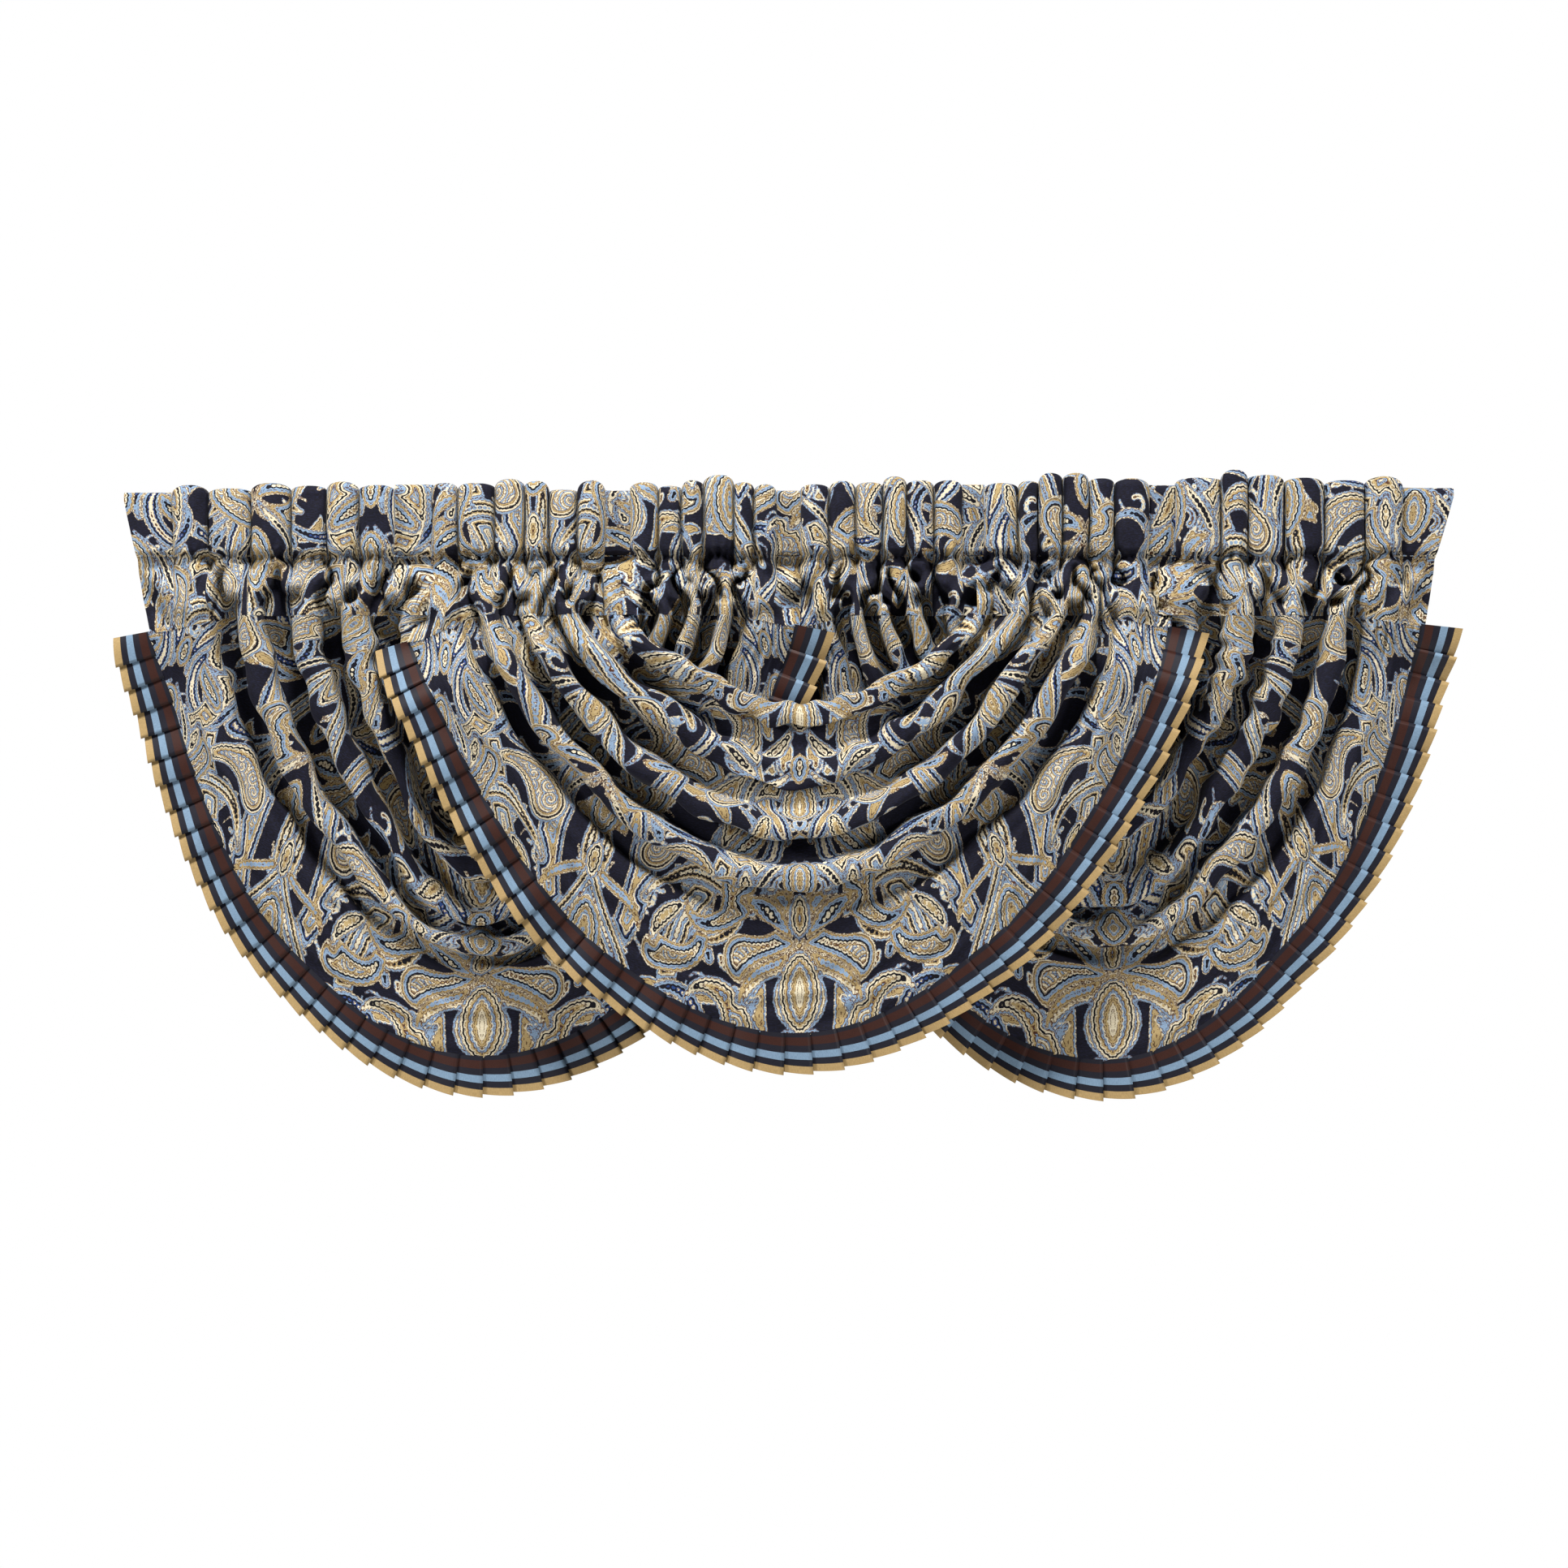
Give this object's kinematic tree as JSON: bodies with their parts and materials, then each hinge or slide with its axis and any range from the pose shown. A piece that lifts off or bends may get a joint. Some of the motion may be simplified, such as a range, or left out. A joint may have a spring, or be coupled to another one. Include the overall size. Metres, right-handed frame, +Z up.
{
  "type": "waterfall valance",
  "caption": "Swagged waterfall valance of heavy woven jacquard: draped panels on gathered rod pockets, side by side on one rod line, each with a pleated striped ribbon trim",
  "frame": {"origin": "the middle of the line on which the row of rod pockets bears on its rod, at the valance's top edge", "axes": "+X to the right seen from the front, +Y back towards the wall, +Z up; the front faces -Y"},
  "size_m": [2.0071, 0.1288, 0.9387],
  "materials": {
    "header_cloth": "woven jacquard, cream, light blue and brown scrolls on a navy ground, gathered",
    "swag_cloth": "woven jacquard, cream, light blue and brown scrolls on a navy chenille ground",
    "ribbon_trim": "knife-pleated grosgrain ribbon striped in brown, navy, light blue and gold"
  },
  "bodies": {
    "root": {"left_strip_outer": "header_cloth", "center_strip_left": "header_cloth", "left_strip_inner": "header_cloth", "right_strip_inner": "header_cloth", "center_strip_right": "header_cloth", "right_strip_outer": "header_cloth", "left_swag": "swag_cloth", "left_trim": "ribbon_trim", "center_swag": "swag_cloth", "center_trim": "ribbon_trim", "right_swag": "swag_cloth", "right_trim": "ribbon_trim"}
  },
  "joints": []
}
